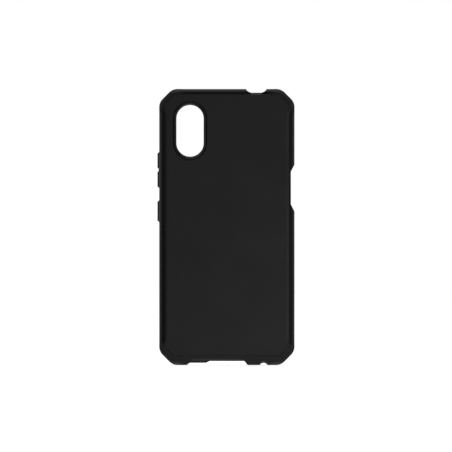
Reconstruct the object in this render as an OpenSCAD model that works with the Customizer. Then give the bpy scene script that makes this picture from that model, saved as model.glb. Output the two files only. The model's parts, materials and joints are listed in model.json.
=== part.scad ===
// Protective case for a rugged phone: a hard back shell in a flexible bumper frame,
// with four corner bumpers, a camera bezel and three separate side keys.
// The case stands on its bottom edge. +Z runs up its length, +Y points out of its back,
// and the open screen side faces -Y. The origin is at the middle of the bottom edge.

/* [Phone] */
// Width of the phone that the case holds
phone_w = 71.6; // [62:0.1:88]
// Length of the phone that the case holds
phone_l = 147.1; // [120:0.1:180]
// Thickness of the phone that the case holds
phone_t = 9.2; // [8:0.1:14]
// Corner radius of the phone, seen from its back
phone_corner_r = 11.5; // [10:0.1:14]
// Gap between the phone and the case, on each side
phone_gap = 0.1; // [0.05:0.05:0.5]

/* [Walls] */
// Thickness of the two long side walls
side_wall = 1.6; // [1.5:0.1:2.5]
// Thickness of the top wall
top_wall = 3.1; // [2.8:0.1:4]
// Thickness of the bottom wall
bottom_wall = 2.6; // [2.5:0.1:4]
// Thickness of the back at its middle
back_wall = 1.9; // [1.8:0.1:3]
// Thickness of the front lip
lip_t = 1.3; // [1:0.1:2]
// How far the front lip reaches in over the screen's edge
lip_reach = 1.8; // [1.2:0.1:2.5]
// Chamfer on the front lip's inner edge
lip_chamfer = 0.6; // [0.3:0.1:0.9]

/* [Outline] */
// Leg of the chamfer at the two top corners
chamfer_top = 7.4; // [6:0.1:8]
// Leg of the chamfer at the two bottom corners
chamfer_bottom = 7.5; // [6:0.1:8]
// Radius that rounds both ends of each corner chamfer
chamfer_end_r = 6.6; // [6:0.1:7]
// Rounding of the front outer edge
front_edge_r = 0.9; // [0.4:0.1:1.2]
// Distance from a corner at which the long sides reach their full shoulder
shoulder_start = 15; // [12:0.5:18]

/* [Shoulder] */
// Width of the rounded shoulder along the long sides
side_shoulder_w = 4.6; // [4:0.1:5]
// Depth of the rounded shoulder along the long sides
side_shoulder_d = 3.2; // [2:0.1:4]
// Width of the rounded shoulder along the top
top_shoulder_w = 3.4; // [3.2:0.1:4]
// Depth of the rounded shoulder along the top
top_shoulder_d = 2.6; // [1.5:0.1:3]
// Leg of the bevel on the back edge of the corners
edge_bevel = 1.5; // [1:0.1:2]
// Leg of the bevel on the back edge of the foot
foot_bevel = 0.6; // [0.3:0.1:1.5]

/* [Back shell] */
// Distance of the shell's seam from the sides and the top
seam_side = 3.0; // [2.6:0.1:3.6]
// Distance of the shell's seam from the bottom edge
seam_bottom = 5.5; // [5:0.1:5.5]
// Half the width of the groove along the seam
seam_half_w = 0.1; // [0.1:0.05:0.3]
// Depth of the groove along the seam
seam_depth = 0.1; // [0.1:0.05:0.4]
// Thickness of the frame's ledge under the shell's rim
ledge_t = 0.6; // [0.4:0.1:0.8]
// Width of that ledge
ledge_w = 2.0; // [1.6:0.1:2.4]

/* [Corner bumpers] */
// Thickness of each corner bumper behind its chamfer
bumper_t = 1.5; // [1:0.1:1.5]

/* [Camera window] */
// Width of the clear window
window_w = 15.1; // [12:0.1:18.2]
// Length of the clear window
window_l = 28.6; // [20:0.1:36]
// Width of the bezel's ring
bezel_ring = 1.65; // [1.2:0.05:2.2]
// Height of the bezel above the back
bezel_rise = 0.4; // [0.2:0.1:0.8]
// Depth of the bezel's seat in the shell
bezel_seat = 1.0; // [0.6:0.1:1.2]
// Width of the groove around the bezel
bezel_groove_w = 0.25; // [0.1:0.05:0.4]
// Depth of the groove around the bezel
bezel_groove_d = 0.3; // [0.1:0.05:0.4]
// Distance of the window's middle from the side with the keys
window_side = 17.1; // [16.4:0.1:20]
// Distance of the window's middle from the top edge
window_drop = 23.2; // [20:0.1:26]

/* [Keys] */
// Height of the keys above the side wall
key_rise = 1.0; // [0.7:0.05:1.3]
// Width of the keys, front to back
key_w = 3.4; // [2.6:0.1:4]
// Corner radius of the keys
key_corner_r = 1.1; // [0.6:0.1:1.2]
// Running clearance around each key
key_gap = 0.06; // [0.04:0.01:0.1]
// Inward travel of the keys
key_travel = 0.3; // [0.2:0.05:0.3]
// How far the retaining flange reaches past the key's sides
flange_reach = 0.45; // [0.3:0.05:0.5]
// Thickness of the retaining flange
flange_t = 0.28; // [0.2:0.02:0.3]
// Height of the keys' rounded crown
key_crown = 0.3; // [0.1:0.05:0.5]
// Height of the raised land around the keys
land_rise = 0.4; // [0.2:0.05:0.6]
// Slope of the land's ends, along the side
land_slope = 0.75; // [0.4:0.05:1]
// Width of the land beyond the keys, front and back
land_margin = 1.1; // [0.8:0.05:1.2]
// Length of the volume-up key
up_len = 8.6; // [7:0.1:10.4]
// Distance of the volume-up key's middle from the top edge
up_drop = 39.6; // [37:0.1:41]
// Length of the volume-down key
down_len = 8.75; // [7:0.05:10]
// Gap between the two volume keys
volume_gap = 1.75; // [1.6:0.05:4]
// Length of the power key
power_len = 11.2; // [9:0.1:13]
// Gap between the volume-down key and the power key
power_gap = 7.7; // [6:0.1:12]

/* [Openings in the edges] */
// Length of the side opening at the outer face
side_cut_l = 26; // [20:0.1:30]
// Length of the side opening at its floor
side_cut_floor = 18.1; // [12:0.1:19]
// Depth of the side opening, past the side wall's thickness
side_cut_extra = 0.44; // [0.2:0.02:0.6]
// Distance of the side opening's middle from the top edge
side_cut_drop = 54.9; // [45:0.1:65]
// Width of the headset opening at the top face
top_cut_w = 11.5; // [10:0.1:15]
// Width of the headset opening at its floor
top_cut_floor = 6; // [4:0.1:8]
// Depth of the headset opening
top_cut_d = 2.08; // [1.6:0.02:2.3]
// Bevel on the back under the headset opening, as wide as the opening
top_cut_bevel = 1.1; // [0.4:0.05:1.3]
// Diameter of the headset plug's hole
jack_d = 5; // [4:0.1:5.4]
// Distance of the headset opening from the case's middle
top_cut_x = 16.3; // [14:0.1:18]
// Height of the port opening in the back, above the bottom edge
port_h = 4.1; // [3.4:0.1:4.6]
// Left end of the port opening at the bottom edge
port_left = 11.57; // [10:0.1:13]
// Right end of the port opening at the bottom edge
port_right = 22.15; // [18:0.1:24]
// Slope of the port opening's ends
port_slope = 1.65; // [1:0.05:2.2]
// Height of the front lip's shallow step in the port opening
port_step_a = 0.96; // [0.8:0.02:1.6]
// Height of the front lip's deep step in the port opening
port_step_b = 1.94; // [1.8:0.02:2.6]
// Where the deep step of the front lip ends
port_step_x = 9.65; // [8:0.05:12]
// Width of the slope between the two steps
port_step_slope = 1.95; // [1:0.05:3]
// Thickness that the front lip keeps at its edge in the port opening
port_lip_edge = 0.3; // [0.2:0.05:0.6]
// Rise of the bevel behind that edge, for each millimetre of depth
port_lip_bevel = 1.3; // [0.4:0.1:1.4]
// Width of the arched notch in the foot
notch_w = 4.4; // [3.6:0.1:5]
// Height of the arched notch in the foot
notch_h = 1.2; // [0.8:0.05:1.5]
// Distance of the arched notch from the case's middle
notch_x = 20.35; // [19:0.05:22]
// Bevel around the notch on the back
notch_bevel = 1.2; // [0.6:0.1:1.5]
// Diameter of the microphone hole above the notch
mic_d = 1.6; // [1:0.1:2]

/* [Hidden] */
$fn = 64;

eps = 0.01;
past = 2; // how far a cutting tool runs past the face that it cuts
arc_steps = 6; // steps in each 45 degree arc of the outline
fade_steps = 5; // steps over which the shoulder fades in beyond a corner
round_steps = 4; // steps around the front edge
rise_steps = 10; // steps from the side face up to the seam
lip_facets = 48; // facets of the lip's inner chamfer
crown_facets = 32; // facets of the keys' crowns

// Inside of the case
cavity_w = phone_w + 2 * phone_gap;
cavity_l = phone_l + 2 * phone_gap;
cavity_t = phone_t + 2 * phone_gap;
cavity_r = phone_corner_r + phone_gap;
half_cavity = cavity_w / 2;
cavity_bottom = bottom_wall;
cavity_top = bottom_wall + cavity_l;

// Outside of the case
half_w = half_cavity + side_wall;
case_l = cavity_top + top_wall;
case_t = lip_t + cavity_t + back_wall;
front_y = -case_t / 2;
back_y = case_t / 2;
cavity_front_y = front_y + lip_t;
cavity_back_y = back_y - back_wall;
ledge_y = cavity_back_y + ledge_t;
cavity_mid_y = (cavity_front_y + cavity_back_y) / 2;
window_x = half_w - window_side;

// One section of the back edge: [shoulder width, shoulder depth, roundness, seam distance]
side_edge = [side_shoulder_w, side_shoulder_d, 1, seam_side];
top_edge = [top_shoulder_w, top_shoulder_d, 1, seam_side];
bottom_edge = [foot_bevel, foot_bevel, 0, seam_bottom];
corner_edge = [edge_bevel, edge_bevel, 0, seam_side];
flat_margin = 0.1; // from the end of the shoulder to where the back is drawn flat
rim_overlap = 0.2; // how far the shell's rim and its flat middle overlap
last_rise = 0.02; // the shoulder's last rise, which is drawn flat

function mix(a, b, t) = a + (b - a) * t;
function smooth(t) = t * t * (3 - 2 * t);
function dir(a) = [cos(a), sin(a)];

// The section at a corner, where its two neighbours' seam distances meet
function corner_section(before, after, t) =
    [corner_edge[0], corner_edge[1], corner_edge[2], mix(before[3], after[3], t)];

// Points beyond a corner, where the shoulder fades from the corner's bevel to the edge's own shape.
// Each outline point is [position, outward normal, section].
function fade(corner, along, normal, from, edge, section, steps) =
    [for (k = steps)
        [corner + along * mix(from, shoulder_start, k / fade_steps), normal,
         mix(section, edge, smooth(k / fade_steps))]];

function corner_points(corner, angle, leg, before, after) =
    let (
        turn = chamfer_end_r * tan(22.5),
        n_in = dir(angle),
        n_out = dir(angle + 90),
        e_in = dir(angle + 90),
        e_out = dir(angle + 180),
        c1 = corner - e_in * (leg + turn) - n_in * chamfer_end_r,
        c2 = corner + e_out * (leg + turn) - n_out * chamfer_end_r
    )
    concat(
        fade(corner, -e_in, n_in, leg + turn, before, corner_section(before, after, 0),
             [fade_steps:-1:1]),
        [for (k = [0:arc_steps])
            let (n = dir(angle + 45 * k / arc_steps))
            [c1 + n * chamfer_end_r, n, corner_section(before, after, k / arc_steps / 2)]],
        [for (k = [0:arc_steps])
            let (n = dir(angle + 45 + 45 * k / arc_steps))
            [c2 + n * chamfer_end_r, n, corner_section(before, after, (1 + k / arc_steps) / 2)]],
        fade(corner, e_out, n_out, leg + turn, after, corner_section(before, after, 1),
             [1:fade_steps])
    );

// The outline's four corners, anticlockwise from the bottom right, with X to the right and Z up
corner_list = [
    corner_points([half_w, 0], -90, chamfer_bottom, bottom_edge, side_edge),
    corner_points([half_w, case_l], 0, chamfer_top, side_edge, top_edge),
    corner_points([-half_w, case_l], 90, chamfer_top, top_edge, side_edge),
    corner_points([-half_w, 0], 180, chamfer_bottom, side_edge, bottom_edge)
];
outline = [for (c = corner_list) each c];

// Height of the back's surface at a distance in from the outline
function surface_y(section, inset) =
    let (
        u = min(inset / section[0], 1),
        curve = sqrt(1 - (1 - u) * (1 - u)),
        drop = section[1] * (1 - mix(u, curve, section[2]))
    )
    drop < last_rise ? back_y : back_y - drop;

function place(p, inset, y) =
    let (q = p[0] - p[1] * inset)
    [q[0], y, q[1]];

// Steps of a section, each [distance in from the outline, y]
function front_steps() =
    [for (k = [0:round_steps])
        let (a = 90 * k / round_steps)
        [front_edge_r * (1 - sin(a)), front_y + front_edge_r * (1 - cos(a))]];

function rise_insets(seam) =
    [for (k = [0:rise_steps]) (seam - seam_half_w) * (1 - cos(90 * k / rise_steps))];

function outer_steps(p) = [for (d = rise_insets(p[2][3])) [d, surface_y(p[2], d)]];

function seam_steps(p) =
    let (seam = p[2][3])
    [[seam, surface_y(p[2], seam) - seam_depth], [seam, ledge_y]];

// Where the shoulder runs out into the flat back
function flat_inset(section) = max(section[0], section[3] + seam_half_w) + flat_margin;

// The shell's rim, from the bottom of the seam out, over and in to the flat back
function rim_steps(p) =
    let (
        seam = p[2][3],
        edge = seam + seam_half_w,
        flat = flat_inset(p[2]),
        middle = (edge + flat) / 2
    )
    [
        [seam, ledge_y],
        [seam, surface_y(p[2], seam) - seam_depth],
        [edge, surface_y(p[2], edge)],
        [middle, surface_y(p[2], middle)],
        [flat, back_y],
        [flat + rim_overlap, back_y],
        [flat + rim_overlap, ledge_y]
    ];

function frame_steps(p) = concat(front_steps(), outer_steps(p), seam_steps(p));

// One ring of points for each step, all the way around the outline
function rim_rings() =
    [for (j = [0:len(rim_steps(outline[0])) - 1])
        [for (p = outline) place(p, rim_steps(p)[j][0], rim_steps(p)[j][1])]];

function frame_rings() =
    [for (j = [0:len(frame_steps(outline[0])) - 1])
        [for (p = outline) place(p, frame_steps(p)[j][0], frame_steps(p)[j][1])]];

// A closed band through rings of equal count, whose last ring joins its first
module band(rings) {
    n = len(rings[0]);
    m = len(rings);
    faces = [for (j = [0:m - 1], i = [0:n - 1])
        let (k = (i + 1) % n, here = j * n, next = ((j + 1) % m) * n)
        each [[here + i, here + k, next + k], [here + i, next + k, next + i]]];
    polyhedron(points = [for (r = rings) each r], faces = faces, convexity = 6);
}

// A closed solid through rings of equal count, capped at both ends from a middle point
module loft(rings) {
    n = len(rings[0]);
    m = len(rings);
    points = concat(
        [for (r = rings) each r],
        [for (r = [rings[0], rings[m - 1]]) [0, r[0][1], case_l / 2]]
    );
    sides = [for (j = [0:m - 2], i = [0:n - 1])
        let (a = j * n + i, b = j * n + (i + 1) % n)
        each [[a, b, b + n], [a, b + n, a + n]]];
    caps = [for (i = [0:n - 1])
        let (k = (i + 1) % n, last = (m - 1) * n)
        each [[i, m * n, k], [last + i, last + k, m * n + 1]]];
    polyhedron(points = points, faces = concat(sides, caps), convexity = 6);
}

// A closed solid swept through sections of equal count, with its ends closed
module sweep(sections) {
    n = len(sections[0]);
    m = len(sections);
    sides = [for (j = [0:m - 2], i = [0:n - 1])
        let (a = j * n + i, b = j * n + (i + 1) % n)
        each [[a, b + n, b], [a, a + n, b + n]]];
    ends = [for (i = [1:n - 2])
        each [[0, i, i + 1], [(m - 1) * n, (m - 1) * n + i + 1, (m - 1) * n + i]]];
    polyhedron(points = [for (s = sections) each s], faces = concat(sides, ends), convexity = 4);
}

// Turns a flat shape drawn in X and Z into a plate between two heights in Y
module slab(y0, y1) {
    translate([0, y1, 0])
        rotate([90, 0, 0])
            linear_extrude(height = y1 - y0)
                children();
}

module rounded_rect(w, h, r) {
    square([w, h - 2 * r], center = true);
    square([w - 2 * r, h], center = true);
    for (x = [-1, 1], z = [-1, 1])
        translate([x * (w / 2 - r), z * (h / 2 - r)])
            circle(r);
}

// A rounded rectangle that stands in from the cavity's wall, or out from it when negative
module cavity_shape(inset) {
    translate([0, (cavity_bottom + cavity_top) / 2])
        rounded_rect(cavity_w - 2 * inset, cavity_l - 2 * inset, cavity_r - inset);
}

module stadium(w, l) {
    square([w, l - w], center = true);
    for (z = [-1, 1])
        translate([0, z * (l - w) / 2])
            circle(w / 2);
}

module at_window(y) {
    translate([window_x, y, case_l - window_drop])
        children();
}

// A ring around the window, from a section drawn as [distance out from the clear window, height]
module window_ring(section) {
    r = window_w / 2;
    straight = window_l - window_w;
    turned = [for (p = section) [r + p[0], p[1]]];
    rotate([-90, 0, 0]) {
        for (side = [0, 180])
            rotate([0, 0, side])
                translate([0, straight / 2, 0])
                    rotate_extrude(angle = 180)
                        polygon(turned);
        for (side = [0, 180])
            rotate([0, 0, side])
                translate([0, straight / 2, 0])
                    rotate([90, 0, 0])
                        linear_extrude(height = straight)
                            polygon(turned);
    }
}

// The camera bezel's section: a seat, a rounded crest and an inner bevel
bezel_outer_slope = bezel_ring / 3; // width of the slope from the crest down to the groove
bezel_crest = bezel_ring * 0.45; // distance of the crest from the clear window
bezel_dip = bezel_seat * 0.45; // depth of the inner bevel at the clear window
bezel_section = [
    [0, -bezel_seat],
    [bezel_ring, -bezel_seat],
    [bezel_ring, -bezel_groove_d],
    [bezel_ring - bezel_outer_slope / 2, bezel_rise * 0.6],
    [bezel_ring - bezel_outer_slope, bezel_rise],
    [bezel_crest, bezel_rise],
    [bezel_crest / 2, (bezel_rise - bezel_dip) / 2 + bezel_rise / 4],
    [0, -bezel_dip]
];
// The groove that the bezel's outer edge leaves in the shell
bezel_groove = [
    [bezel_ring - eps, -bezel_groove_d],
    [bezel_ring, -bezel_groove_d],
    [bezel_ring + bezel_groove_w, eps],
    [bezel_ring - eps, eps]
];

// Corner bumpers. A flat plane parallel to each chamfer parts the bumper from the frame.
cutter = 40; // size of the block that stands for everything beyond that plane
module beyond_chamfer(i) {
    leg = (i == 0 || i == 3) ? chamfer_bottom : chamfer_top;
    corner = [(i == 0 || i == 1) ? half_w : -half_w, (i == 1 || i == 2) ? case_l : 0];
    translate([corner[0], 0, corner[1]])
        rotate([0, -(90 * i - 45), 0])
            translate([-leg / sqrt(2) - bumper_t, -case_t, -cutter / 2])
                cube([cutter, 2 * case_t, cutter]);
}

// The skin of one corner, a little deeper than the bumper
skin_spare = 1;
module corner_skin(i) {
    depth = bumper_t + skin_spare;
    sweep([for (p = corner_list[i])
        concat(
            [for (s = front_steps()) place(p, s[0], s[1])],
            [for (k = [0:rise_steps])
                let (d = depth * (1 - cos(90 * k / rise_steps)))
                place(p, d, surface_y(p[2], d))],
            [place(p, depth, front_y)]
        )]);
}

module corner_bumper(i) {
    intersection() {
        corner_skin(i);
        beyond_chamfer(i);
    }
}

// Keys. Each key is [length, middle height].
up_key = [up_len, case_l - up_drop];
down_key = [down_len, up_key[1] - up_len / 2 - volume_gap - down_len / 2];
power_key_place = [power_len, down_key[1] - down_len / 2 - power_gap - power_len / 2];
flange_play = 0.02; // between the flange and the wall that stops it
flange_face = half_cavity + key_travel + flange_t + flange_play;

// A plate with rounded corners between two distances from the case's middle
module key_plate(key, x0, x1, grow) {
    translate([x0, cavity_mid_y, key[1]])
        rotate([90, 0, 90])
            linear_extrude(height = x1 - x0)
                rounded_rect(key_w + 2 * grow, key[0] + 2 * grow, key_corner_r + grow);
}

module key(key) {
    top = half_w + key_rise;
    stop = flange_face - flange_play;
    key_plate(key, stop - flange_t, stop, flange_reach);
    key_plate(key, stop - eps, top - key_crown, 0);
    hull() {
        key_plate(key, top - key_crown, top - key_crown + eps, 0, $fn = crown_facets);
        key_plate(key, top - eps, top, -key_crown, $fn = crown_facets);
    }
}

module key_cut(key) {
    key_plate(key, half_cavity - past, flange_face, flange_reach + key_gap);
    key_plate(key, flange_face - eps, half_w + past, key_gap);
}

// A raised land with sloped sides, from one height to another
land_side_slope = 0.5; // run of the land's long slopes, front and back
land_root = 0.4; // how far the land runs into the wall
module key_land(z0, z1) {
    w = key_w / 2 + land_margin;
    points = [
        for (level = [[half_w - land_root, 0], [half_w, 0], [half_w + land_rise, 1]])
            let (dz = level[1] * land_slope, dy = level[1] * land_side_slope)
            each [
                [level[0], cavity_mid_y - w + dy, z0 - land_slope + dz],
                [level[0], cavity_mid_y + w - dy, z0 - land_slope + dz],
                [level[0], cavity_mid_y + w - dy, z1 + land_slope - dz],
                [level[0], cavity_mid_y - w + dy, z1 + land_slope - dz]
            ]
    ];
    polyhedron(points = points, faces = [
        [0, 3, 2, 1], [8, 9, 10, 11],
        [0, 1, 5, 4], [1, 2, 6, 5], [2, 3, 7, 6], [3, 0, 4, 7],
        [4, 5, 9, 8], [5, 6, 10, 9], [6, 7, 11, 10], [7, 4, 8, 11]
    ]);
}

// Openings in the edges
module side_cut() {
    z = case_l - side_cut_drop;
    depth = side_wall + side_cut_extra;
    slab(front_y - past, back_y + past)
        polygon([
            [-half_w - past, z - side_cut_l / 2],
            [-half_w, z - side_cut_l / 2],
            [-half_w + depth, z - side_cut_floor / 2],
            [-half_w + depth, z + side_cut_floor / 2],
            [-half_w, z + side_cut_l / 2],
            [-half_w - past, z + side_cut_l / 2]
        ]);
}

// One flank of the headset opening, from the top face down: [distance from its middle, height]
top_ease = 1.05; // run of the flank's last slope
top_steep_run = 0.2; // share of the flank's run taken by its steep top
top_steep_depth = 0.43; // share of the depth taken by the flank's steep top
top_ease_depth = 0.8; // share of the depth at which the flank's last slope starts
top_flank = [
    [top_cut_w / 2, past],
    [top_cut_w / 2, 0],
    [mix(top_cut_w, top_cut_floor, top_steep_run) / 2, -top_cut_d * top_steep_depth],
    [top_cut_floor / 2 + top_ease, -top_cut_d * top_ease_depth],
    [top_cut_floor / 2, -top_cut_d]
];

module top_cut() {
    last = len(top_flank) - 1;
    slab(front_y - past, back_y + past)
        translate([-top_cut_x, case_l])
            polygon(concat(
                [for (p = top_flank) [-p[0], p[1]]],
                [for (k = [last:-1:0]) top_flank[k]]
            ));
    translate([-top_cut_x, cavity_mid_y, cavity_top - past])
        cylinder(h = top_wall + 2 * past, d = jack_d);
}

// The 45 degree bevel on the back, from the headset opening's floor down
module top_bevel_cut() {
    floor_z = case_l - top_cut_d;
    translate([-top_cut_x - top_cut_w / 2, 0, 0])
        rotate([90, 0, 90])
            linear_extrude(top_cut_w)
                polygon([
                    [back_y - top_cut_bevel, floor_z],
                    [back_y + past, floor_z],
                    [back_y + past, floor_z - top_cut_bevel - past]
                ]);
}

// The opening for the charging port, behind the front lip
module port_cut() {
    slab(cavity_front_y, back_y + past)
        polygon([
            [-port_left, -past],
            [-port_left, 0],
            [-port_left + port_slope * port_h / port_step_b, port_h],
            [port_right - port_slope * port_h / port_step_b, port_h],
            [port_right, 0],
            [port_right, -past]
        ]);
}

// The front lip's stepped edge in front of the charging port
lip_step = [
    [-port_left, -2 * past],
    [-port_left, 0],
    [-port_left + port_slope, port_step_b],
    [port_step_x, port_step_b],
    [port_step_x + port_step_slope, port_step_a],
    [port_right - port_slope, port_step_a],
    [port_right, 0],
    [port_right, -2 * past]
];

// The bevel behind the lip's edge, which starts at one height all the way across
lip_bevel = [
    [-port_left, -2 * past],
    [-port_left, 0],
    [-port_left + port_slope, port_step_b],
    [port_right - port_slope, port_step_b],
    [port_right, 0],
    [port_right, -2 * past]
];

module lip_cut() {
    bevel_y = front_y + port_lip_edge;
    slab(front_y - past, cavity_front_y + eps)
        polygon(lip_step);
    sweep([for (y = [bevel_y, cavity_front_y + eps])
        [for (p = lip_bevel) [p[0], y, p[1] + port_lip_bevel * (y - bevel_y)]]]);
}

module foot_notch() {
    r = (notch_w * notch_w / 4 + notch_h * notch_h) / (2 * notch_h);
    translate([-notch_x, front_y - past, notch_h - r])
        rotate([-90, 0, 0])
            cylinder(h = case_t + 2 * past, r = r);
    translate([-notch_x, back_y - notch_bevel, notch_h - r])
        rotate([-90, 0, 0])
            cylinder(h = notch_bevel + eps, r1 = r, r2 = r + notch_bevel);
    translate([-notch_x, cavity_mid_y, -past])
        cylinder(h = bottom_wall + 2 * past, d = mic_d);
}

// Nodes

module back_shell() {
    color("#222224")
        difference() {
            union() {
                band(rim_rings());
                slab(ledge_y, back_y)
                    shell_middle();
                slab(cavity_back_y, ledge_y + eps)
                    ledge_opening();
            }
            at_window(0)
                slab(0, back_y + past)
                    stadium(window_w, window_l);
            at_window(0)
                slab(back_y - bezel_seat, back_y + past)
                    stadium(window_w + 2 * bezel_ring, window_l + 2 * bezel_ring);
            at_window(back_y)
                window_ring(bezel_groove);
            top_bevel_cut();
        }
}

// The flat middle of the shell's back, which overlaps the rim
module shell_middle() {
    polygon([for (p = outline)
        let (q = place(p, flat_inset(p[2]) + rim_overlap / 2, 0))
        [q[0], q[2]]]);
}

module ledge_opening() {
    low = seam_bottom + ledge_w;
    high = case_l - seam_side - ledge_w;
    w = 2 * (half_w - seam_side - ledge_w);
    translate([0, (low + high) / 2])
        rounded_rect(w, high - low, cavity_r - ledge_w);
}

module bumper_frame() {
    color("#1b1b1d")
        difference() {
            union() {
                loft(frame_rings());
                key_land(down_key[1] - down_len / 2, up_key[1] + up_len / 2);
                key_land(power_key_place[1] - power_len / 2, power_key_place[1] + power_len / 2);
            }
            slab(cavity_front_y, cavity_back_y)
                cavity_shape(0);
            slab(front_y - past, cavity_front_y + eps)
                cavity_shape(lip_reach);
            hull() {
                slab(front_y + lip_chamfer - eps, front_y + lip_chamfer)
                    cavity_shape(lip_reach, $fn = lip_facets);
                slab(front_y - eps, front_y)
                    cavity_shape(lip_reach - lip_chamfer, $fn = lip_facets);
            }
            slab(cavity_back_y - eps, ledge_y + past)
                ledge_opening();
            for (i = [0:3])
                beyond_chamfer(i);
            for (k = [up_key, down_key, power_key_place])
                key_cut(k);
            side_cut();
            top_cut();
            top_bevel_cut();
            port_cut();
            lip_cut();
            foot_notch();
        }
}

module camera_bezel() {
    color("#1e1e20")
        at_window(back_y)
            window_ring(bezel_section);
}

module volume_up_key() {
    color("#242426")
        key(up_key);
}

module volume_down_key() {
    color("#242426")
        key(down_key);
}

module power_key() {
    color("#242426")
        key(power_key_place);
}

module corner_bumper_bottom_port_side() {
    color("#28282a")
        corner_bumper(0);
}

module corner_bumper_top_camera_side() {
    color("#28282a")
        corner_bumper(1);
}

module corner_bumper_top_jack_side() {
    color("#28282a")
        corner_bumper(2);
}

module corner_bumper_bottom_mic_side() {
    color("#28282a")
        corner_bumper(3);
}

back_shell();
bumper_frame();
camera_bezel();
corner_bumper_top_camera_side();
corner_bumper_top_jack_side();
corner_bumper_bottom_port_side();
corner_bumper_bottom_mic_side();
volume_up_key();
volume_down_key();
power_key();
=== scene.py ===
import json
import math

import bmesh
import bpy
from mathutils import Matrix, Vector

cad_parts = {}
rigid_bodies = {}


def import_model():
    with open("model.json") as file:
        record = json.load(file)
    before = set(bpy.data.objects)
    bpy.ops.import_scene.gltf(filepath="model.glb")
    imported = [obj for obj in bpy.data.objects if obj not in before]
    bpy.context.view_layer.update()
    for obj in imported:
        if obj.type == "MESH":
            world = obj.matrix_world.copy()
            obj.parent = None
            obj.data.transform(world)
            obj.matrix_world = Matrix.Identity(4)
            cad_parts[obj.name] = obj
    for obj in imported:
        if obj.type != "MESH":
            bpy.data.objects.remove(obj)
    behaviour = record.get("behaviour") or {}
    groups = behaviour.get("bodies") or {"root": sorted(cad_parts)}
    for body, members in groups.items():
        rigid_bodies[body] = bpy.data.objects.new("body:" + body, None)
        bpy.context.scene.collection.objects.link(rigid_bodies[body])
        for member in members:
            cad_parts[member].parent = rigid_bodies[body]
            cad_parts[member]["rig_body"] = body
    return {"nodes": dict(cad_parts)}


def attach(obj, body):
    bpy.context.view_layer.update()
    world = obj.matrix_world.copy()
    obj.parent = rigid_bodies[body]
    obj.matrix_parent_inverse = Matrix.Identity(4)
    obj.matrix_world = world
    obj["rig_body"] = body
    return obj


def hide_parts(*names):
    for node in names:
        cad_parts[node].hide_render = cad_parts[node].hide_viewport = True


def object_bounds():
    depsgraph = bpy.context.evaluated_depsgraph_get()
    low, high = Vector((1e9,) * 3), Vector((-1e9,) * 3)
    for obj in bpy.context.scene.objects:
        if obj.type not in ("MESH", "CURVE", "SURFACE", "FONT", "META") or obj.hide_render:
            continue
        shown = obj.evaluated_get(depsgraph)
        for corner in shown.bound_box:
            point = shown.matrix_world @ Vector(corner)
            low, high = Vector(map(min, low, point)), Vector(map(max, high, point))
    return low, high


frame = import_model()
CAD_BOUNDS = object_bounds()

bl_info = {
    "name": "Rugged Phone Case",
    "version": (1, 0, 0),
    "blender": (4, 5, 0),
    "location": "View3D > Sidebar > Phone Case",
    "description": "Finishes a rugged phone case and sets it on a pale studio floor",
    "category": "Object",
}

MM = 0.001
MIDDLE = (0.0, 0.0, (CAD_BOUNDS[0][2] + CAD_BOUNDS[1][2]) / 2)
FRAME_WIDTH = 0.2509  # how much the camera takes in across, at the case, in metres
CORNER_BUMPERS = [n for n in frame["nodes"] if n.startswith("corner_bumper")]
KEYS = [n for n in frame["nodes"] if n.endswith("_key")]

WELD = 1e-7  # vertices closer than this, in metres, are one
FLAT_ANGLE = math.radians(0.3)  # faces that turn less than this are one flat face
SHARP_ANGLE = math.radians(28)  # edges that turn more than this are rounded
EDGE_SEGMENTS = 2
PATCH_MM = 25  # size of the patches that handling leaves
PATCH_GLOSS = 0.03  # how far a patch's roughness strays from the rest
ROLLER_MM = 4  # size of a paint roller's marks

FLOOR_GAP = 0.02 * MM  # from the case's foot down to the floor
FLOOR_RINGS = 6
FLOOR_SIDES = 96
FLOOR_GLOW = 0.75

# Each softbox's place and size, in metres
FRONT_FILL = ((-0.4, 1.4, -0.3), (0.9, 0.9))
OVERHEAD = ((0.0, 0.0, 1.4), (1.6, 1.6))
KEY_SIDE = ((1.3, 0.1, 0.35), (0.8, 0.8))
CUT_SIDE = ((-1.3, 0.1, 0.35), (0.8, 0.8))

# The light's direction, from -1 to 1, where the sweep and the light table begin and are full
SWEEP_BEGINS, SWEEP_FULL = 0.6, -0.5
TABLE_BEGINS, TABLE_FULL = -0.6, -1.0


def linear(hex_colour):
    """Linear RGBA from an sRGB hex value such as '#1b1b1c'."""
    channels = [int(hex_colour[i:i + 2], 16) / 255 for i in (1, 3, 5)]
    return tuple(c / 12.92 if c <= 0.04045 else ((c + 0.055) / 1.055) ** 2.4 for c in channels) + (1.0,)


def add_node(tree, kind, settings=None, inputs=None, links=None):
    """Adds a node, sets its properties and sockets, and links sockets to other nodes' outputs."""
    node = tree.nodes.new(kind)
    for name, value in (settings or {}).items():
        setattr(node, name, value)
    for name, value in (inputs or {}).items():
        node.inputs[name].default_value = value
    for name, source in (links or {}).items():
        tree.links.new(source, node.inputs[name])
    return node


def start_material(name):
    """A new material with an empty node tree."""
    material = bpy.data.materials.new(name)
    material.use_nodes = True
    material.node_tree.nodes.clear()
    return material


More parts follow.
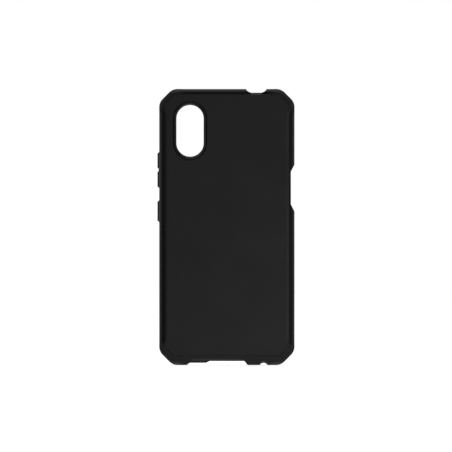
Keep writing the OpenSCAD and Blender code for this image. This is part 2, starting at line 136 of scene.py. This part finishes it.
def moulded_plastic(name, base, worn, grain_mm, grain_depth_mm, roughness, ior):
    """A moulded plastic: spark-eroded grain, slow changes of gloss and a faint rubbed tone."""
    material = start_material(name)
    tree = material.node_tree
    place = add_node(tree, "ShaderNodeTexCoord")
    # Grain pressed in by the eroded mould.
    grain = add_node(tree, "ShaderNodeTexNoise",
                     inputs={"Scale": 1 / (grain_mm * MM), "Detail": 3.0, "Roughness": 0.6},
                     links={"Vector": place.outputs["Object"]})
    # Handling leaves broad patches a little smoother than the rest.
    patches = add_node(tree, "ShaderNodeTexNoise",
                       inputs={"Scale": 1 / (PATCH_MM * MM), "Detail": 2.0, "Roughness": 0.5},
                       links={"Vector": place.outputs["Object"]})
    gloss = add_node(tree, "ShaderNodeMapRange",
                     inputs={"From Min": 0.3, "From Max": 0.7,
                             "To Min": roughness - PATCH_GLOSS, "To Max": roughness + PATCH_GLOSS},
                     links={"Value": patches.outputs["Fac"]})
    tone = add_node(tree, "ShaderNodeMix", settings={"data_type": "RGBA"},
                    links={"Factor": grain.outputs["Fac"]})
    tone.inputs["A"].default_value = linear(base)
    tone.inputs["B"].default_value = linear(worn)
    bump = add_node(tree, "ShaderNodeBump",
                    inputs={"Strength": 0.35, "Distance": grain_depth_mm * MM},
                    links={"Height": grain.outputs["Fac"]})
    shader = add_node(tree, "ShaderNodeBsdfPrincipled",
                      inputs={"IOR": ior, "Specular IOR Level": 0.5, "Metallic": 0.0},
                      links={"Base Color": tone.outputs["Result"],
                             "Roughness": gloss.outputs["Result"],
                             "Normal": bump.outputs["Normal"]})
    add_node(tree, "ShaderNodeOutputMaterial", links={"Surface": shader.outputs["BSDF"]})
    return material


def mould(node, material, edge_round):
    """Stands a finished moulding in for a CAD node: the same shape with its sharp edges rounded."""
    source = frame["nodes"][node]
    shape = bmesh.new()
    shape.from_mesh(source.data)
    bmesh.ops.remove_doubles(shape, verts=shape.verts, dist=WELD)
    bmesh.ops.dissolve_limit(shape, angle_limit=FLAT_ANGLE, verts=shape.verts, edges=shape.edges)
    mesh = bpy.data.meshes.new(node + "_moulding")
    shape.to_mesh(mesh)
    shape.free()
    piece = bpy.data.objects.new(node + "_moulding", mesh)
    bpy.context.scene.collection.objects.link(piece)
    mesh.materials.append(material)
    mesh.shade_smooth()
    edge = piece.modifiers.new("rounded edge", "BEVEL")
    edge.width = edge_round
    edge.segments = EDGE_SEGMENTS
    edge.limit_method = "ANGLE"
    edge.angle_limit = SHARP_ANGLE
    edge.use_clamp_overlap = True
    even = piece.modifiers.new("even shade", "WEIGHTED_NORMAL")
    even.mode = "FACE_AREA"
    depsgraph = bpy.context.evaluated_depsgraph_get()
    finished = bpy.data.meshes.new_from_object(piece.evaluated_get(depsgraph))
    piece.modifiers.clear()
    piece.data = finished
    finished.name = node + "_moulding"
    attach(piece, source["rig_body"])
    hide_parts(node)
    return piece


class PhoneCaseFinish(bpy.types.PropertyGroup):
    shell_colour: bpy.props.StringProperty(
        name="Shell Colour", description="Colour of the hard back shell, as an sRGB hex value",
        default="#121213")
    frame_colour: bpy.props.StringProperty(
        name="Frame Colour", description="Colour of the flexible bumper frame, as an sRGB hex value",
        default="#101011")
    bumper_colour: bpy.props.StringProperty(
        name="Corner Colour", description="Colour of the four corner bumpers, as an sRGB hex value",
        default="#141415")
    key_colour: bpy.props.StringProperty(
        name="Key Colour", description="Colour of the side keys and the bezel, as an sRGB hex value",
        default="#121213")
    edge_round: bpy.props.FloatProperty(
        name="Edge Round", description="Radius that the moulds leave on sharp edges",
        default=0.08 * MM, min=0.0, precision=5, subtype="DISTANCE", unit="LENGTH")
    bezel_edge_round: bpy.props.FloatProperty(
        name="Bezel Edge Round", description="Radius on the camera bezel's edges",
        default=0.1 * MM, min=0.0, precision=5, subtype="DISTANCE", unit="LENGTH")
    key_edge_round: bpy.props.FloatProperty(
        name="Key Edge Round", description="Radius on the side keys' edges",
        default=0.12 * MM, min=0.0, precision=5, subtype="DISTANCE", unit="LENGTH")


class PhoneCaseStage(bpy.types.PropertyGroup):
    floor_radius: bpy.props.FloatProperty(
        name="Floor Radius", description="Radius of the round studio floor",
        default=3.0, min=0.5, subtype="DISTANCE", unit="LENGTH")
    lens: bpy.props.FloatProperty(
        name="Lens", description="Focal length of the camera's long lens",
        default=400.0, min=50.0, unit="CAMERA")
    aim_x: bpy.props.FloatProperty(
        name="Aim Across", description="Where the camera aims, across the case",
        default=0.48 * MM, subtype="DISTANCE", unit="LENGTH")
    aim_z: bpy.props.FloatProperty(
        name="Aim Height", description="Height at which the camera aims",
        default=77.06 * MM, subtype="DISTANCE", unit="LENGTH")
    fill_power: bpy.props.FloatProperty(
        name="Fill Power", description="Power of the soft fill behind the camera",
        default=3.1, min=0.0, unit="POWER")
    top_power: bpy.props.FloatProperty(
        name="Overhead Power", description="Power of the softbox above the floor",
        default=5.0, min=0.0, unit="POWER")
    key_side_power: bpy.props.FloatProperty(
        name="Key Side Power", description="Power of the softbox on the side with the keys",
        default=0.5, min=0.0, unit="POWER")
    cut_side_power: bpy.props.FloatProperty(
        name="Cut Side Power", description="Power of the softbox on the side with the opening",
        default=0.6, min=0.0, unit="POWER")
    room_level: bpy.props.FloatProperty(
        name="Room Level", description="How bright the unlit side of the studio is",
        default=0.05, min=0.0)
    sweep_level: bpy.props.FloatProperty(
        name="Sweep Level", description="How bright the white sweep behind the case is",
        default=0.55, min=0.0)
    table_level: bpy.props.FloatProperty(
        name="Table Level", description="How much light comes up from the light table",
        default=0.8, min=0.0)


class PHONECASE_OT_back_shell(bpy.types.Operator):
    """Finish the hard back shell as moulded polycarbonate"""
    bl_idname = "phonecase.back_shell"
    bl_label = "Back Shell"

    def execute(self, context):
        finish = context.scene.phone_case_finish
        # Moulded polycarbonate: a fine eroded grain of about 0.2 mm that leaves a soft, even sheen.
        # It is drawn at 0.35 mm, as coarse as it needs to be to show.
        shell = moulded_plastic("textured polycarbonate", finish.shell_colour, worn="#161617",
                                grain_mm=0.35, grain_depth_mm=0.02, roughness=0.46, ior=1.58)
        mould("back_shell", shell, finish.edge_round)
        return {"FINISHED"}


class PHONECASE_OT_bumper_frame(bpy.types.Operator):
    """Finish the flexible frame as moulded thermoplastic polyurethane"""
    bl_idname = "phonecase.bumper_frame"
    bl_label = "Bumper Frame"

    def execute(self, context):
        finish = context.scene.phone_case_finish
        # Moulded polyurethane: a satin skin, a little glossier than the shell.
        # Its grain of about 0.3 mm is drawn at 0.5 mm, so that it shows.
        satin = moulded_plastic("satin moulded polyurethane", finish.frame_colour, worn="#131314",
                                grain_mm=0.5, grain_depth_mm=0.01, roughness=0.4, ior=1.5)
        mould("bumper_frame", satin, finish.edge_round)
        return {"FINISHED"}


class PHONECASE_OT_corner_bumpers(bpy.types.Operator):
    """Finish the four corner bumpers as soft matt polyurethane"""
    bl_idname = "phonecase.corner_bumpers"
    bl_label = "Corner Bumpers"

    def execute(self, context):
        finish = context.scene.phone_case_finish
        # Soft polyurethane: matt, so that it spreads light and looks a shade paler.
        # Its grain of about 0.25 mm is drawn at 0.4 mm, so that it shows.
        soft = moulded_plastic("soft matt polyurethane", finish.bumper_colour, worn="#18181a",
                               grain_mm=0.4, grain_depth_mm=0.03, roughness=0.52, ior=1.5)
        for node in CORNER_BUMPERS:
            mould(node, soft, finish.edge_round)
        return {"FINISHED"}


class PHONECASE_OT_camera_bezel(bpy.types.Operator):
    """Finish the camera bezel as satin polycarbonate"""
    bl_idname = "phonecase.camera_bezel"
    bl_label = "Camera Bezel"

    def execute(self, context):
        finish = context.scene.phone_case_finish
        # Moulded polycarbonate from a polished mould: satin, with almost no grain.
        # What is left is a ripple of about 0.6 mm from the hand polishing of the mould.
        satin = moulded_plastic("satin polycarbonate", finish.key_colour, worn="#151516",
                                grain_mm=0.6, grain_depth_mm=0.006, roughness=0.34, ior=1.58)
        mould("camera_bezel", satin, finish.bezel_edge_round)
        return {"FINISHED"}


class PHONECASE_OT_keys(bpy.types.Operator):
    """Finish the three side keys as moulded polycarbonate"""
    bl_idname = "phonecase.keys"
    bl_label = "Side Keys"

    def execute(self, context):
        finish = context.scene.phone_case_finish
        # Moulded polycarbonate keys: a satin face that thumbs have begun to polish.
        # Its grain of about 0.2 mm is drawn at 0.4 mm, so that it shows.
        key = moulded_plastic("satin key polycarbonate", finish.key_colour, worn="#161617",
                              grain_mm=0.4, grain_depth_mm=0.01, roughness=0.36, ior=1.58)
        for node in KEYS:
            mould(node, key, finish.key_edge_round)
        return {"FINISHED"}


def studio_floor(radius):
    """A round pale floor at the height that the case stands on."""
    sides = FLOOR_SIDES
    turns = [2 * math.pi * i / sides for i in range(sides)]
    points = [(0.0, 0.0, 0.0)]
    for ring in range(1, FLOOR_RINGS + 1):
        r = radius * (ring / FLOOR_RINGS) ** 2
        points += [(r * math.cos(turn), r * math.sin(turn), 0.0) for turn in turns]
    faces = [(0, 1 + i, 1 + (i + 1) % sides) for i in range(sides)]
    for ring in range(FLOOR_RINGS - 1):
        a, b = 1 + ring * sides, 1 + (ring + 1) * sides
        faces += [(a + i, b + i, b + (i + 1) % sides, a + (i + 1) % sides) for i in range(sides)]
    mesh = bpy.data.meshes.new("studio_floor")
    mesh.from_pydata(points, [], faces)
    floor = bpy.data.objects.new("studio_floor", mesh)
    bpy.context.scene.collection.objects.link(floor)
    floor.location.z = CAD_BOUNDS[0][2] - FLOOR_GAP
    # The floor is only seen: black plastic would otherwise mirror it, and the lights may stand under it.
    floor.visible_diffuse = floor.visible_glossy = floor.visible_shadow = False
    return floor


def floor_paint():
    """Matt white studio paint, lit from below by its light table."""
    material = start_material("matt white light table")
    tree = material.node_tree
    place = add_node(tree, "ShaderNodeTexCoord")
    # Roller marks.
    roller = add_node(tree, "ShaderNodeTexNoise", inputs={"Scale": 1 / (ROLLER_MM * MM), "Detail": 2.0},
                      links={"Vector": place.outputs["Object"]})
    tone = add_node(tree, "ShaderNodeMix", settings={"data_type": "RGBA"},
                    links={"Factor": roller.outputs["Fac"]})
    tone.inputs["A"].default_value = linear("#f6f6f6")
    tone.inputs["B"].default_value = linear("#fafafa")
    shader = add_node(tree, "ShaderNodeBsdfPrincipled",
                      inputs={"Roughness": 0.9, "Emission Color": linear("#ffffff"),
                              "Emission Strength": FLOOR_GLOW},
                      links={"Base Color": tone.outputs["Result"]})
    add_node(tree, "ShaderNodeOutputMaterial", links={"Surface": shader.outputs["BSDF"]})
    return material


def studio_world(room_level, sweep_level, table_level):
    """White to the eye, but lit as a dim room with a white sweep behind and a light table below."""
    world = bpy.data.worlds.new("studio")
    world.use_nodes = True
    tree = world.node_tree
    tree.nodes.clear()
    place = add_node(tree, "ShaderNodeTexCoord")
    axes = add_node(tree, "ShaderNodeSeparateXYZ", links={"Vector": place.outputs["Generated"]})
    level = add_node(tree, "ShaderNodeMapRange", settings={"interpolation_type": "SMOOTHSTEP"},
                     inputs={"From Min": SWEEP_BEGINS, "From Max": SWEEP_FULL,
                             "To Min": room_level, "To Max": sweep_level},
                     links={"Value": axes.outputs["Y"]})
    table = add_node(tree, "ShaderNodeMapRange", settings={"interpolation_type": "SMOOTHSTEP"},
                     inputs={"From Min": TABLE_BEGINS, "From Max": TABLE_FULL,
                             "To Min": 0.0, "To Max": table_level},
                     links={"Value": axes.outputs["Z"]})
    both = add_node(tree, "ShaderNodeMath", settings={"operation": "ADD"})
    tree.links.new(level.outputs["Result"], both.inputs[0])
    tree.links.new(table.outputs["Result"], both.inputs[1])
    lighting = add_node(tree, "ShaderNodeBackground", links={"Strength": both.outputs["Value"]})
    seen = add_node(tree, "ShaderNodeBackground", inputs={"Color": linear("#ffffff"), "Strength": 1.0})
    path = add_node(tree, "ShaderNodeLightPath")
    choose = add_node(tree, "ShaderNodeMixShader", links={"Fac": path.outputs["Is Camera Ray"]})
    tree.links.new(lighting.outputs["Background"], choose.inputs[1])
    tree.links.new(seen.outputs["Background"], choose.inputs[2])
    add_node(tree, "ShaderNodeOutputWorld", links={"Surface": choose.outputs["Shader"]})
    return world


def softbox(name, place_and_size, power):
    """A rectangular softbox that faces the middle of the case."""
    place, size = place_and_size
    lamp = bpy.data.lights.new(name, "AREA")
    lamp.shape = "RECTANGLE"
    lamp.size, lamp.size_y = size
    lamp.energy = power
    thing = bpy.data.objects.new(name, lamp)
    bpy.context.scene.collection.objects.link(thing)
    thing.location = place
    thing.rotation_euler = (Vector(MIDDLE) - Vector(place)).to_track_quat("-Z", "Y").to_euler()
    return thing


class PHONECASE_OT_stage(bpy.types.Operator):
    """Set the pale floor, the soft lights and the camera"""
    bl_idname = "phonecase.stage"
    bl_label = "Stage"

    def execute(self, context):
        stage = context.scene.phone_case_stage
        floor = studio_floor(stage.floor_radius)
        floor.data.materials.append(floor_paint())

        softbox("front_fill", FRONT_FILL, stage.fill_power)
        softbox("overhead", OVERHEAD, stage.top_power)
        softbox("key_side", KEY_SIDE, stage.key_side_power)
        softbox("cut_side", CUT_SIDE, stage.cut_side_power)
        context.scene.world = studio_world(stage.room_level, stage.sweep_level, stage.table_level)

        lens = bpy.data.cameras.new("long_lens")
        lens.lens = stage.lens
        lens.sensor_width = 36.0
        lens.clip_start, lens.clip_end = 0.05, 20.0
        camera = bpy.data.objects.new("camera", lens)
        context.scene.collection.objects.link(camera)
        distance = lens.lens * FRAME_WIDTH / lens.sensor_width
        camera.location = (stage.aim_x, distance, stage.aim_z)
        camera.rotation_euler = (math.radians(90), 0.0, math.radians(180))
        context.scene.camera = camera

        context.scene.view_settings.view_transform = "Standard"
        context.scene.view_settings.look = "None"
        return {"FINISHED"}


PIECES = (
    PHONECASE_OT_back_shell, PHONECASE_OT_bumper_frame, PHONECASE_OT_corner_bumpers,
    PHONECASE_OT_camera_bezel, PHONECASE_OT_keys, PHONECASE_OT_stage,
)


class PHONECASE_PT_build(bpy.types.Panel):
    """Lists the steps that finish the phone case"""
    bl_idname = "PHONECASE_PT_build"
    bl_label = "Phone Case"
    bl_space_type = "VIEW_3D"
    bl_region_type = "UI"
    bl_category = "Phone Case"

    def draw(self, context):
        column = self.layout.column(align=True)
        for step in PIECES:
            column.operator(step.bl_idname)
        for settings in (context.scene.phone_case_finish, context.scene.phone_case_stage):
            box = self.layout.box()
            for name in settings.__annotations__:
                box.prop(settings, name)


CLASSES = (PhoneCaseFinish, PhoneCaseStage) + PIECES + (PHONECASE_PT_build,)


def register():
    for cls in CLASSES:
        bpy.utils.register_class(cls)
    bpy.types.Scene.phone_case_finish = bpy.props.PointerProperty(type=PhoneCaseFinish)
    bpy.types.Scene.phone_case_stage = bpy.props.PointerProperty(type=PhoneCaseStage)


def unregister():
    del bpy.types.Scene.phone_case_stage
    del bpy.types.Scene.phone_case_finish
    for cls in reversed(CLASSES):
        bpy.utils.unregister_class(cls)


def main():
    register()
    bpy.ops.phonecase.back_shell()
    bpy.ops.phonecase.bumper_frame()
    bpy.ops.phonecase.corner_bumpers()
    bpy.ops.phonecase.camera_bezel()
    bpy.ops.phonecase.keys()
    bpy.ops.phonecase.stage()


if __name__ == "__main__":
    main()
